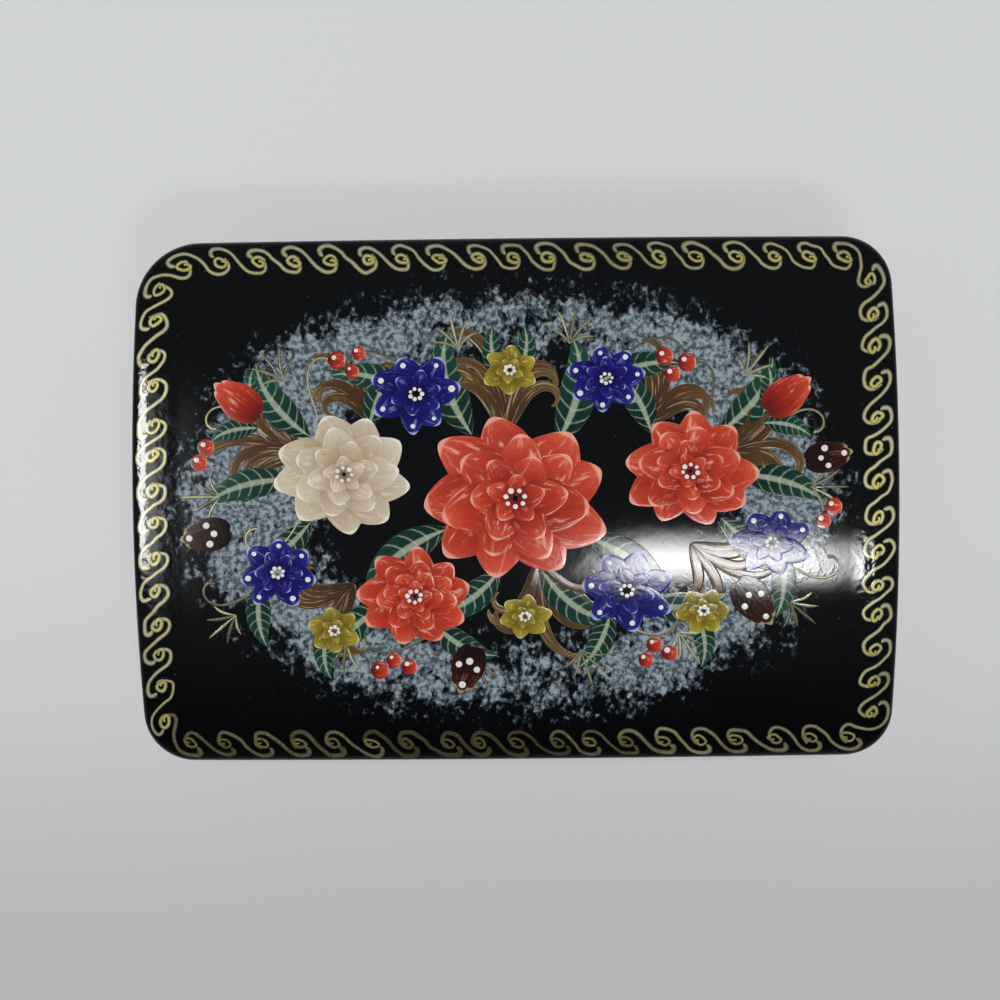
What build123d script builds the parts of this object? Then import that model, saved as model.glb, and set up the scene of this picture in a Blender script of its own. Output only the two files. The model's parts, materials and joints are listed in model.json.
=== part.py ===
"""Hinged lacquer box of papier-mache: an arched lid over a lined body, joined by a barrel hinge.

Millimetres. The origin is the centre of the underside, +Z up, +X along the length,
and the front is towards -Y. The lid is shut at rest and opens about the hinge at the back.
"""
import os
from math import radians, tan

from build123d import *

# Outline of the box, seen from above: four sides that bow out a little towards their middles, and
# rounded corners. One corner was sanded rounder than the other three.
box_length = 90.0
box_width = 62.0
end_bow = 0.8
side_bow = 0.25
corner_radius_front_left = 5.9
corner_radius_front_right = 5.7
corner_radius_back_right = 5.8
corner_radius_back_left = 7.6

# Body: a wound wall on a base panel, with a thin liner that stands up as a lip for the lid.
base_thickness = 3.0
base_edge_radius = 1.0
wall = 3.4
rim_height = 22.0
liner_thickness = 1.2
lip_height = 2.0

# Lid: a low frame wound like the wall, under a panel pressed to an arch across the width.
lid_side_height = 7.0
panel_thickness = 3.2
panel_rise = 4.0
panel_edge_chamfer = 0.5

# Fits between the pieces.
glue_gap = 0.05
seam_gap = 0.2
seam_edge_radius = 0.4
lip_clearance = 0.25

# Hinge: two leaves of rolled sheet on a wire, let into saw cuts in the back wall and the lid frame.
hinge_length = 46.0
knuckle_count = 5
knuckle_gap = 0.15
sheet = 0.5
wire_diameter = 1.0
wire_clearance = 0.03
wire_overhang = 0.4
leaf_height = 5.5
leaf_notch_clearance = 0.3
barrel_inset = 0.25
barrel_clearance = 0.3
saw_cut_clearance = 0.05

# V groove along the back: its two faces meet when the lid stands open, just past the range.
lid_opening = 100.0
groove_spare_angle = 2.0

# Headless pins through each leaf, filed flush inside and short of the outer face.
fixing_pin_diameter = 0.9
fixing_pin_clearance = 0.02
fixing_pin_count = 3
fixing_pin_spacing = 17.0
fixing_pin_offset = 3.6
fixing_pin_cover = 0.9

# Heights and places that follow from the sizes above.
half_length = box_length / 2
half_width = box_width / 2
end_radius = (half_width**2 + end_bow**2) / (2 * end_bow)
side_radius = (half_length**2 + side_bow**2) / (2 * side_bow)
lid_bottom = rim_height + seam_gap
panel_radius = (half_width**2 + panel_rise**2) / (2 * panel_rise)
panel_inner_radius = panel_radius - panel_thickness
inner_edge_drop = panel_radius - (panel_inner_radius**2 - half_width**2) ** 0.5
crown_height = lid_bottom + lid_side_height + inner_edge_drop
barrel_radius = wire_diameter / 2 + wire_clearance + sheet
hinge_y = half_width - barrel_inset - barrel_radius
hinge_z = rim_height + seam_gap / 2
leaf_y = hinge_y - barrel_radius + sheet / 2
lid_wall = wall - lip_clearance
corner_radii = {
    (-1, -1): corner_radius_front_left,
    (1, -1): corner_radius_front_right,
    (1, 1): corner_radius_back_right,
    (-1, 1): corner_radius_back_left,
}


def outline(inset):
    """The box's outline as a face, drawn in by inset on every side.

    The four bowed sides are arcs of large discs, so the face is what the discs share, less its corners.
    """
    end_disc, side_disc = Circle(end_radius - inset), Circle(side_radius - inset)
    end_place, side_place = half_length - end_radius, half_width - side_radius
    face = Pos(end_place, 0) * end_disc & Pos(-end_place, 0) * end_disc
    face = face & Pos(0, side_place) * side_disc & Pos(0, -side_place) * side_disc
    for (side_x, side_y), radius in corner_radii.items():
        if radius > inset:
            corner = face.vertices().sort_by_distance((side_x * box_length, side_y * box_width))[0]
            face = fillet(corner, radius - inset)
    return face


def ring(outer_inset, inner_inset, bottom, top):
    """An upright wall between two insets of the outline."""
    section = outline(outer_inset) - outline(inner_inset)
    return Pos(0, 0, bottom) * extrude(section, top - bottom)


def bar_along_x(radius, length, centre_x=0.0):
    """A round bar on the hinge's axis."""
    return Pos(centre_x, hinge_y, hinge_z) * Rot(0, 90, 0) * Cylinder(radius, length)


def arch(radius):
    """The round bar whose upper side is the lid's arch."""
    return Pos(0, 0, crown_height - panel_radius) * Rot(0, 90, 0) * Cylinder(radius, 2 * box_length)


def base_panel():
    """The bottom board, glued under the wall and rounded along its lower edge."""
    board = extrude(outline(0), base_thickness)
    return fillet(board.faces().sort_by(Axis.Z)[0].outer_wire().edges(), base_edge_radius)


def back_groove():
    """The V groove along the back, with its root on the hinge's axis."""
    face_angle = radians(lid_opening + groove_spare_angle) / 2
    reach = 2 * (half_width - hinge_y)
    rise = reach * tan(face_angle)
    section = Plane.YZ * make_face(
        Polyline(
            (hinge_y, hinge_z),
            (hinge_y + reach, hinge_z + rise),
            (hinge_y + reach, hinge_z - rise),
            close=True,
        )
    )
    return extrude(section, box_length, both=True)


def hinge_seat(side):
    """What is cut out for the hinge: groove, barrel channel and saw cut, up (1) or down (-1)."""
    length = hinge_length + 2 * knuckle_gap
    channel = bar_along_x(barrel_radius + barrel_clearance, length + 2 * wire_overhang)
    cut_height = leaf_height + saw_cut_clearance
    saw_cut = Pos(0, leaf_y, hinge_z + side * cut_height / 2) * Box(
        length, sheet + 2 * saw_cut_clearance, cut_height
    )
    return back_groove() + channel + saw_cut


def fixing_pin_places():
    """Where the pins go along the hinge."""
    middle = (fixing_pin_count - 1) / 2
    return [(number - middle) * fixing_pin_spacing for number in range(fixing_pin_count)]


def fixing_pins(side, inner_face, clearance=0.0):
    """The pins of one leaf, from the wall's inner face outwards, above (1) or below (-1) the axis."""
    outer_end = half_width - fixing_pin_cover + clearance
    pin = Rot(-90, 0, 0) * Cylinder(
        fixing_pin_diameter / 2 + clearance,
        outer_end - inner_face,
        align=(Align.CENTER, Align.CENTER, Align.MIN),
    )
    height = hinge_z + side * fixing_pin_offset
    return Compound([Pos(x, inner_face, height) * pin for x in fixing_pin_places()])


def body_wall():
    """The wound wall, eased along its rim and cut at the back for the hinge."""
    blank = ring(0, wall, base_thickness, rim_height)
    rim = blank.faces().sort_by(Axis.Z)[-1]
    blank = fillet(rim.outer_wire().edges(), seam_edge_radius)
    return blank - hinge_seat(-1) - fixing_pins(-1, half_width - wall, fixing_pin_clearance)


def inner_liner():
    """The thin inner sleeve, from the base to above the rim, that the lid closes over."""
    inset = wall + glue_gap
    return ring(inset, inset + liner_thickness, base_thickness, rim_height + lip_height)


def lid_frame():
    """The lid's wound frame, its top trimmed to the arch and its back cut for the hinge."""
    blank = ring(0, lid_wall, lid_bottom, crown_height)
    foot = blank.faces().sort_by(Axis.Z)[0]
    blank = fillet(foot.outer_wire().edges(), seam_edge_radius)
    blank = blank & arch(panel_inner_radius - glue_gap)
    return blank - hinge_seat(1) - fixing_pins(1, half_width - lid_wall, fixing_pin_clearance)


def lid_panel():
    """The pressed panel: the outline cut from a shell of the arch, with its upper edge eased."""
    blank = Pos(0, 0, lid_bottom) * extrude(outline(0), crown_height - lid_bottom)
    blank = blank & (arch(panel_radius) - arch(panel_inner_radius))
    top = blank.faces().filter_by(GeomType.CYLINDER).sort_by(Axis.Z)[-1]
    return chamfer(top.outer_wire().edges(), panel_edge_chamfer)


def knuckle_spans(first):
    """Middle and length of every second knuckle, from the given one."""
    pitch = hinge_length / knuckle_count
    return [
        ((number + 0.5) * pitch - hinge_length / 2, pitch - knuckle_gap)
        for number in range(first, knuckle_count, 2)
    ]


def hinge_leaf(side, first_knuckle):
    """One leaf: a plate pierced for its pins, with a tab up to each of its rolled knuckles."""
    notch = barrel_radius + leaf_notch_clearance
    plate_height = leaf_height - notch
    leaf = Pos(0, leaf_y, hinge_z + side * (notch + plate_height / 2)) * Box(
        hinge_length, sheet, plate_height
    )
    leaf = leaf - fixing_pins(side, half_width - wall, fixing_pin_clearance)
    for middle, length in knuckle_spans(first_knuckle):
        tab = Pos(middle, leaf_y, hinge_z + side * notch / 2) * Box(length, sheet, notch)
        leaf = leaf + tab + bar_along_x(barrel_radius, length, middle)
    return leaf - bar_along_x(wire_diameter / 2 + wire_clearance, 2 * hinge_length)


def hinge_wire():
    """The wire that the knuckles turn on, a little longer than the barrel."""
    return bar_along_x(wire_diameter / 2, hinge_length + 2 * wire_overhang)


pieces = {
    "base_panel": base_panel(),
    "body_wall": body_wall(),
    "inner_liner": inner_liner(),
    "lid_frame": lid_frame(),
    "lid_panel": lid_panel(),
    "hinge_leaf_body": hinge_leaf(-1, 0),
    "hinge_leaf_lid": hinge_leaf(1, 1),
    "hinge_wire": hinge_wire(),
    "fixing_pins_body": fixing_pins(-1, half_width - wall),
    "fixing_pins_lid": fixing_pins(1, half_width - lid_wall),
}

os.makedirs("parts", exist_ok=True)
for name, shape in pieces.items():
    export_step(shape, f"parts/{name}.step")

print("crown height", round(crown_height, 3))
print("hinge axis y, z", round(hinge_y, 3), round(hinge_z, 3))
print("arch radius", round(panel_radius, 3))
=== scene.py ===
"""A hinged lacquer box of papier-mache: red inside, black outside, with a painted and gilded lid."""
import json

import bmesh
import bpy
import numpy as np
from mathutils import Matrix, Vector


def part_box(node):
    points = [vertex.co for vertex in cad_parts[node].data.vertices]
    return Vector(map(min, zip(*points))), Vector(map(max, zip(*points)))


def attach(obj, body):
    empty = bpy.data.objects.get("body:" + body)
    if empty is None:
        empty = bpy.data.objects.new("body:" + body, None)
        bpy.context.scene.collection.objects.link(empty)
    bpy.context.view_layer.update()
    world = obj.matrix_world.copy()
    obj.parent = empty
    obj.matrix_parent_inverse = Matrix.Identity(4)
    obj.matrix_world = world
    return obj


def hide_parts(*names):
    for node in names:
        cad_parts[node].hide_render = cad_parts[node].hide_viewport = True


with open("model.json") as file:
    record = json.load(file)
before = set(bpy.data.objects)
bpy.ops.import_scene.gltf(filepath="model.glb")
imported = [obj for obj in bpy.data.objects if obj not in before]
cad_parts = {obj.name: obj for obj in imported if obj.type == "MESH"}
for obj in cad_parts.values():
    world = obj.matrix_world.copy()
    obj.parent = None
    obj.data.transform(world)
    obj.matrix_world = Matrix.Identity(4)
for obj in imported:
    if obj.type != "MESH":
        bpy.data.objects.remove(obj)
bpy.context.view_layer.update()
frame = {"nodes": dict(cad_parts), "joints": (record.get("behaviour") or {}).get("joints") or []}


# Base board
# A flat board of pressed card glued under the wall, with its lower edge rubbed round.
# The outside is black lacquer; its upper side is the floor of the box and is red.
mm = 0.001
half_length, half_width, base_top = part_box("base_panel")[1]
base_edge = 1.0 * mm
base_top_margin = 0.15 * mm
base_side_levels = np.array([0.4, 0.8, 1.0])
end_bow, side_bow = 0.8 * mm, 0.25 * mm
corner_radii = (5.9 * mm, 5.7 * mm, 5.8 * mm, 7.6 * mm)
half_arc_steps, long_steps, short_steps = 9, 40, 26
wide_cells, deep_cells = 2 * half_arc_steps + long_steps, 2 * half_arc_steps + short_steps
dust_grey = (0.22, 0.21, 0.2)
varnish_ior = 1.5


def pointing(angle):
    """Unit vectors in plan at these angles."""
    return np.stack([np.cos(angle), np.sin(angle)], axis=-1)


# The four sides, from the front counter-clockwise, are arcs of large discs that face this way.
side_facing = np.radians((-90, 0, 90, 180))
side_reach = np.array([half_width, half_length, half_width, half_length])
side_bows = np.array([side_bow, end_bow, side_bow, end_bow])
disc_radii = (np.roll(side_reach, 1) ** 2 + side_bows**2) / (2 * side_bows)
disc_centres = pointing(side_facing) * (side_reach - disc_radii)[:, None]


def corner_centre(corner):
    """Centre of the arc between two sides: where their discs, drawn in by the arc's radius, cross."""
    between = disc_centres[corner] - disc_centres[corner - 1]
    apart = np.linalg.norm(between)
    first, second = disc_radii[corner - 1] - corner_radii[corner], disc_radii[corner] - corner_radii[corner]
    along = (first**2 - second**2 + apart**2) / (2 * apart)
    across = np.sqrt(first**2 - along**2)
    way = between / apart
    return disc_centres[corner - 1] + along * way + across * np.array([-way[1], way[0]])


def meeting_angle(side, corner):
    """The angle, about the centre of a side's disc, at which the side meets a corner's arc."""
    x, y = corner_centres[corner] - disc_centres[side]
    return side_facing[side] + np.angle((x + 1j * y) * np.exp(-1j * side_facing[side]))


corner_centres = np.array([corner_centre(corner) for corner in range(4)])
side_starts = np.array([meeting_angle(side, side) for side in range(4)])
side_ends = np.array([meeting_angle(side, (side + 1) % 4) for side in range(4)])
corner_halves = (side_starts - np.roll(side_ends, 1)) % (2 * np.pi) / 2


def outline_path(back_places=None):
    """Anchors, reaches and outward normals of the outline, counter-clockwise from the front left.

    Anchor + (reach - inset) * normal is the outline drawn in by inset. The points of an arc share its
    centre and pass evenly from one end to the other, unless the places along the back are given.
    """
    anchors, reaches, angles = [], [], []
    half = np.linspace(0, 1, half_arc_steps, endpoint=False)
    for side in range(4):
        first, second = side, (side + 1) % 4
        start, end = side_starts[side], side_ends[side]
        along = np.linspace(start, end, long_steps if side % 2 == 0 else short_steps, endpoint=False)
        if side == 2 and back_places is not None:
            along = np.concatenate([[start], np.arccos(np.sort(back_places)[::-1] / disc_radii[side])])
        counts = (half_arc_steps, len(along), half_arc_steps)
        centres = (corner_centres[first], disc_centres[side], corner_centres[second])
        anchors.append(np.repeat(centres, counts, axis=0))
        reaches.append(np.repeat((corner_radii[first], disc_radii[side], corner_radii[second]), counts))
        angles += [start - corner_halves[first] * (1 - half), along, end + corner_halves[second] * half]
    return np.concatenate(anchors), np.concatenate(reaches), pointing(np.concatenate(angles))


def joined(*runs):
    """Runs of a profile end to end, each with the same rows, such as insets and heights."""
    return np.concatenate([np.stack(np.broadcast_arrays(*run)) for run in runs], axis=1)


def carried(path, insets):
    """Plan points of a profile carried round the outline: one drawn-in outline for each inset."""
    anchors, reaches, normals = path
    return anchors + (reaches - np.reshape(insets, (-1, 1)))[..., None] * normals


def with_height(plan, heights):
    """Plan points with their heights as a third coordinate."""
    heights = np.broadcast_to(heights, plan.shape[:-1])
    return np.concatenate([plan, heights[..., None]], axis=-1)


def four_sides(ring):
    """Front, right, back and left of a ring, each from left to right or from front to back."""
    closed = np.concatenate([ring, ring[:1]])
    counts = (wide_cells, deep_cells, wide_cells, deep_cells)
    starts = np.cumsum((0, *counts[:-1]))
    front, right, back, left = [closed[start : start + count + 1] for start, count in zip(starts, counts)]
    return front, right, back[::-1], left[::-1]


def patch_plan(ring):
    """Plan points that fill a ring: the blend from side to side and the blend from front to back,
    added, less the blend of the four corners."""
    front, right, back, left = four_sides(ring)
    u = ((front[:, 0] - front[0, 0]) / (front[-1, 0] - front[0, 0]))[None, :, None]
    v = ((right[:, 1] - right[0, 1]) / (right[-1, 1] - right[0, 1]))[:, None, None]
    across = (1 - u) * left[:, None] + u * right[:, None]
    along = (1 - v) * front[None] + v * back[None]
    corners = (1 - v) * ((1 - u) * front[0] + u * front[-1]) + v * ((1 - u) * back[0] + u * back[-1])
    return across + along - corners


def numbered(shape):
    """A grid of vertex numbers, row by row."""
    return np.arange(np.prod(shape)).reshape(shape)


def quads(index):
    """The four corners of every cell of a grid, or of several grids, of vertex numbers."""
    low, high = index[..., :-1, :], index[..., 1:, :]
    return np.stack([low[..., :-1], low[..., 1:], high[..., 1:], high[..., :-1]], axis=-1).reshape(-1, 4)


def looped(index, axis):
    """The grid of vertex numbers with its first row or column repeated at the end."""
    return np.concatenate([index, np.take(index, [0], axis=axis)], axis=axis)


def hollow_form(rings):
    """Vertices and faces of a closed profile carried round the outline: a grid joined both ways."""
    return rings.reshape(-1, 3), quads(looped(looped(numbered(rings.shape[:2]), 0), 1))


def capped_form(rings, first_height, last_height):
    """Vertices and faces of rings with a patch over the first and the last; the patches come last."""
    index = numbered(rings.shape[:2])
    points, faces = [rings.reshape(-1, 3)], [quads(looped(index, 1))]
    made = index.size
    for row, height in ((0, first_height), (-1, last_height)):
        plan = patch_plan(rings[row, :, :2])
        inner = plan[1:-1, 1:-1]
        number = np.empty(plan.shape[:2], int)
        number[0], number[:, -1], number[-1], number[:, 0] = four_sides(index[row])
        number[1:-1, 1:-1] = made + numbered(inner.shape[:2])
        made += inner[..., 0].size
        points.append(with_height(inner, height(inner[..., 0], inner[..., 1])).reshape(-1, 3))
        faces.append(quads(number))
    return np.concatenate(points), np.concatenate(faces)


def new_piece(name, points, faces, materials, face_material=None, sharp_angle=35):
    """A mesh object at the origin, its faces turned outwards and its shallow edges smooth."""
    mesh = bpy.data.meshes.new(name)
    mesh.from_pydata(points.tolist(), [], [list(map(int, face)) for face in faces])
    for material in materials:
        mesh.materials.append(material)
    if face_material is not None:
        mesh.polygons.foreach_set("material_index", face_material.astype(np.int32))
    turned = bmesh.new()
    turned.from_mesh(mesh)
    bmesh.ops.recalc_face_normals(turned, faces=turned.faces)
    turned.to_mesh(mesh)
    turned.free()
    mesh.shade_smooth()
    mesh.set_sharp_from_angle(angle=np.radians(sharp_angle))
    made = bpy.data.objects.new(name, mesh)
    bpy.context.scene.collection.objects.link(made)
    return made


class Shade:
    """A socket of a material's nodes, so that shader maths is written as Python."""

    def __init__(self, tree, socket=None):
        self.tree, self.socket = tree, socket

    def node(self, kind, settings=None, inputs=None, output=0):
        """A new node: its settings first, then values or links for its sockets."""
        made = self.tree.nodes.new(kind)
        for name, value in (settings or {}).items():
            if name == "stops":
                for extra in value[2:]:
                    made.color_ramp.elements.new(0.5)
                for element, (position, colour) in zip(made.color_ramp.elements, value):
                    element.position, element.color = position, (*colour, 1)
            else:
                setattr(made, name, value)
        for name, value in (inputs or {}).items():
            if isinstance(value, Shade):
                self.tree.links.new(value.socket, made.inputs[name])
            elif isinstance(value, tuple) and made.inputs[name].type == "RGBA":
                made.inputs[name].default_value = (*value, 1)
            else:
                made.inputs[name].default_value = value
        return Shade(self.tree, made.outputs[output] if made.outputs else None)

    def math(self, operation, other=0.0, reflected=False):
        """A Math node on this and the other, or on the other and this."""
        first, second = (other, self) if reflected else (self, other)
        return self.node("ShaderNodeMath", {"operation": operation}, {0: first, 1: second})

    def __add__(self, other):
        return self.math("ADD", other)

    __radd__ = __add__

    def __sub__(self, other):
        return self.math("SUBTRACT", other)

    def __rsub__(self, other):
        return self.math("SUBTRACT", other, reflected=True)

    def __mul__(self, other):
        return self.math("MULTIPLY", other)

    __rmul__ = __mul__

    def __abs__(self):
        return self.math("ABSOLUTE")

    def step(self, low, high):
        """0 below low, 1 above high and a smooth rise between."""
        return self.node(
            "ShaderNodeMapRange",
            {"interpolation_type": "SMOOTHSTEP"},
            {"Value": self, "From Min": low, "From Max": high},
        )

    def mixed(self, first, second):
        """The first colour where this is 0, the second where it is 1."""
        return self.node("ShaderNodeMix", {"data_type": "RGBA"}, {0: self, 6: first, 7: second}, output=2)

    def ramp(self, *stops):
        return self.node("ShaderNodeValToRGB", {"stops": stops}, {0: self})

    def noise(self, scale, detail=3.0, roughness=0.5, distortion=0.0):
        """Noise at these coordinates."""
        inputs = {"Vector": self, "Scale": scale, "Detail": detail, "Roughness": roughness}
        return self.node("ShaderNodeTexNoise", {}, {**inputs, "Distortion": distortion})

    def stretched(self, x, y, z):
        """These coordinates times a factor for each axis."""
        return self.node("ShaderNodeVectorMath", {"operation": "MULTIPLY"}, {0: self, 1: (x, y, z)})

    def part(self, axis):
        """One of these coordinates: x is 0, y is 1 and z is 2."""
        return self.node("ShaderNodeSeparateXYZ", {}, {0: self}, output=axis)

    def bump(self, distance):
        return self.node("ShaderNodeBump", {}, {"Height": self, "Distance": distance, "Strength": 1.0})


def new_material(name):
    """An empty material, and the object's own coordinates to build its nodes on."""
    made = bpy.data.materials.new(name)
    made.use_nodes = True
    made.node_tree.nodes.clear()
    return made, Shade(made.node_tree).node("ShaderNodeTexCoord", output=3)


def shaded(material, inputs):
    """The material, with a shader of these inputs on its output."""
    nodes = Shade(material.node_tree)
    shader = nodes.node("ShaderNodeBsdfPrincipled", {}, inputs)
    nodes.node("ShaderNodeOutputMaterial", {}, {"Surface": shader})
    return material


def lacquer(name, deep, plain, rubbed, overpaint=None):
    """Hand-rubbed oil lacquer: cloudy colour, faint ripples, rub marks and a little dust.

    Overpaint, where given, lays paint under the last coat: it takes the coordinates, the colour and
    the relief, and gives the colour and the relief back.
    """
    made, place = new_material(name)
    colour = place.noise(110, 4).step(0.3, 0.75).mixed(deep, plain)
    rubs = place.stretched(1, 5, 3).noise(420, 6, 0.7).step(0.62, 0.86)
    colour = (rubs * 0.5).mixed(colour, rubbed)
    ripple = place.noise(330, 2) * 0.5 + place.noise(900, 2) * 0.16 + place.noise(1500, 2) * 0.06
    if overpaint:
        colour, ripple = overpaint(place, colour, ripple)
    specks = place.noise(2600, 2, 0.6).step(0.735, 0.78)
    smears = place.noise(75, 5, 0.6).step(0.5, 0.8)
    return shaded(made, {
        "Base Color": (specks * 0.35).mixed(colour, dust_grey),
        "Roughness": 0.06 + rubs * 0.05 + smears * 0.035 + specks * 0.3,
        "IOR": varnish_ior,
        "Normal": ripple.bump(0.012 * mm),
    })


black_lacquer = lacquer(
    "black_lacquer", (0.0028, 0.0028, 0.0036), (0.0062, 0.006, 0.0072), (0.016, 0.014, 0.013)
)
red_lacquer = lacquer("red_lacquer", (0.31, 0.017, 0.010), (0.37, 0.023, 0.013), (0.42, 0.05, 0.03))

path = outline_path()
turn = np.linspace(0, np.pi / 2, 9)
base_insets, base_heights = joined(
    (base_edge * (1 - np.sin(turn)), base_edge * (1 - np.cos(turn))),
    (0, base_side_levels * (base_top - base_edge) + base_edge),
    (base_top_margin, [base_top]),
)
base_rings = with_height(carried(path, base_insets), base_heights[:, None])
base_points, base_faces = capped_form(base_rings, lambda x, y: 0, lambda x, y: base_top)
cap_faces = wide_cells * deep_cells
base_board = new_piece(
    "base_board", base_points, base_faces, [black_lacquer, red_lacquer],
    np.arange(len(base_faces)) >= len(base_faces) - cap_faces,
)
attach(base_board, "body")
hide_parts("base_panel")


# Body wall
# Card wound and glued on a block, oiled and baked hard, then lacquered black all over.
# Its back rim is planed to a V along the seam and gouged out where the hinge's barrel lies.
wall_low, wall_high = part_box("body_wall")
wall_thickness = 3.4 * mm
rim_height = wall_high.z
seam_ease = 0.4 * mm
seam_sharp_angle = 22
hinge_y, hinge_z = frame["joints"][0]["pos_m"][1:]
groove_face_angle = np.radians(51)
channel_radius = 1.33 * mm
channel_end_gap, channel_step = 0.15 * mm, 0.03 * mm
channel_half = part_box("hinge_wire")[1].x + channel_end_gap
back_margin = 10 * mm
back_stations, rim_rows = 57, 34


def hinge_cut(plan):
    """How far the back is cut away above or below the hinge's axis: the deeper of a V groove with its
    root on the axis and, behind the barrel, a round channel about it. Below zero, nothing is cut."""
    out = plan[..., 1] - hinge_y
    groove = np.where(out > 0, out * np.tan(groove_face_angle), -1)
    round_part = np.sqrt(np.maximum(channel_radius**2 - out**2, 0))
    in_channel = (np.abs(out) < channel_radius) & (np.abs(plan[..., 0]) < channel_half)
    return np.maximum(groove, np.where(in_channel, round_part, -1))


channel_ends = np.array([-1, 1])[:, None] * (channel_half + channel_step * np.array([-1, 1]))
back_limit = half_length - back_margin
back_places = np.linspace(-back_limit, back_limit, back_stations)
seam_path = outline_path(np.concatenate([back_places, channel_ends.ravel()]))

# Each run of the profile has its insets, the height of its edge and the share of the way up to it.
ease_turn = np.linspace(0, np.pi / 2, 7)
ease_insets, ease_drops = seam_ease * (1 - np.cos(ease_turn)), seam_ease * (1 - np.sin(ease_turn))
wall_levels = np.append(np.linspace(0, 0.98, 8), 1)
rim_insets = np.linspace(seam_ease, wall_thickness, rim_rows)[1:]
wall_insets, wall_edges, wall_shares = joined(
    (0, rim_height - ease_drops[0], wall_levels),
    (ease_insets[1:], rim_height - ease_drops[1:], 1),
    (rim_insets, rim_height, 1),
    (wall_thickness, rim_height, (0.66, 0.33, 0)),
)
wall_plan = carried(seam_path, wall_insets)
wall_tops = np.minimum(wall_edges[:, None], hinge_z - hinge_cut(wall_plan))
wall_heights = wall_low.z + (wall_tops - wall_low.z) * wall_shares[:, None]
wall_points, wall_faces = hollow_form(with_height(wall_plan, wall_heights))
body_wall = new_piece(
    "wound_wall", wall_points, wall_faces, [black_lacquer], sharp_angle=seam_sharp_angle
)
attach(body_wall, "body")
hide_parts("body_wall")


# Inner sleeve
# A thin sleeve of wound card glued inside the wall. It stands above the rim as a lip for the lid.
# The inside is red; the lip's outer side and its rubbed edge are black.
sleeve_low, sleeve_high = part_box("inner_liner")
sleeve_thickness = 1.2 * mm
sleeve_outer = half_length - sleeve_high.x
sleeve_edge = 0.35 * mm
edge_height = sleeve_high.z - sleeve_edge
edge_turn = np.linspace(0, np.pi / 2, 6)
sleeve_levels = np.linspace(0, 1, 7)[:-1]
sleeve_rise = sleeve_low.z + sleeve_levels * (edge_height - sleeve_low.z)
sleeve_insets, sleeve_heights = joined(
    (0, sleeve_rise),
    (sleeve_edge * (1 - np.cos(edge_turn)), edge_height + sleeve_edge * np.sin(edge_turn)),
    (sleeve_thickness - sleeve_edge * (1 - np.sin(edge_turn)), edge_height + sleeve_edge * np.cos(edge_turn)),
    (sleeve_thickness, sleeve_rise[::-1]),
)
sleeve_plan = carried(path, sleeve_outer + sleeve_insets)
sleeve_points, sleeve_faces = hollow_form(with_height(sleeve_plan, sleeve_heights[:, None]))
black_rows = len(sleeve_levels) + 2 * len(edge_turn) - 2
sleeve_rows = np.arange(len(sleeve_faces)) // sleeve_plan.shape[1]
sleeve = new_piece(
    "inner_sleeve", sleeve_points, sleeve_faces, [black_lacquer, red_lacquer], sleeve_rows >= black_rows
)
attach(sleeve, "body")
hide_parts("inner_liner")


# Hinge leaves
# Two strips of brass sheet. Each is rolled round the wire into every second knuckle of the barrel,
# and its flat part sits in a saw cut in the wall or the lid's frame.
leaf_sheet = 0.5 * mm
barrel_radius = 1.03 * mm
hinge_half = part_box("hinge_leaf_body")[1].x
knuckle_count = 5
knuckle_gap = 0.15 * mm
leaf_length = 5.5 * mm
plate_start = barrel_radius + 0.3 * mm
roll_radius = barrel_radius - leaf_sheet / 2
roll_end_gap = np.radians(14)
roll_stations, tab_stations, plate_stations = 40, 5, 4


def worn_metal(name, bright, dull, shine):
    """Drawn and filed metal: fine lines along the length, dulled in patches by handling."""
    made, place = new_material(name)
    lines = place.stretched(60, 2400, 2400).noise(1, 4, 0.6)
    patches = place.noise(420, 5, 0.6).step(0.42, 0.72)
    return shaded(made, {
        "Base Color": (patches * 0.75 + lines * 0.2).mixed(bright, dull),
        "Metallic": 1.0,
        "Roughness": shine + patches * 0.22 + lines * 0.1,
        "Normal": lines.bump(0.004 * mm),
    })


hinge_brass = worn_metal("hinge_brass", (0.66, 0.46, 0.17), (0.26, 0.16, 0.055), 0.2)
hinge_steel = worn_metal("hinge_steel", (0.56, 0.55, 0.53), (0.24, 0.22, 0.2), 0.22)


def strip_form(line, normal, ends):
    """A strip of sheet that follows a line in the y-z plane, between two places along x: at each end
    the line is moved out and in by half the sheet, and the two outlines are joined by quads."""
    outer, inner = line + normal * leaf_sheet / 2, line - normal * leaf_sheet / 2
    loop = np.concatenate([outer, inner[::-1]])
    rings = np.stack([np.insert(loop, 0, x, axis=1) for x in ends])
    count = len(loop)
    ladder = np.stack([np.arange(len(line)), count - 1 - np.arange(len(line))])
    sides, caps = quads(looped(numbered((2, count)), 1)), quads(ladder)
    return rings.reshape(-1, 3), np.concatenate([sides, caps, caps + count])


def gathered(forms):
    """Several forms as one: their vertices end to end, and their faces numbered to match."""
    points, faces = zip(*forms)
    starts = np.cumsum([0] + [len(each) for each in points[:-1]])
    return np.concatenate(points), [face + start for each, start in zip(faces, starts) for face in each]


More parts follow.
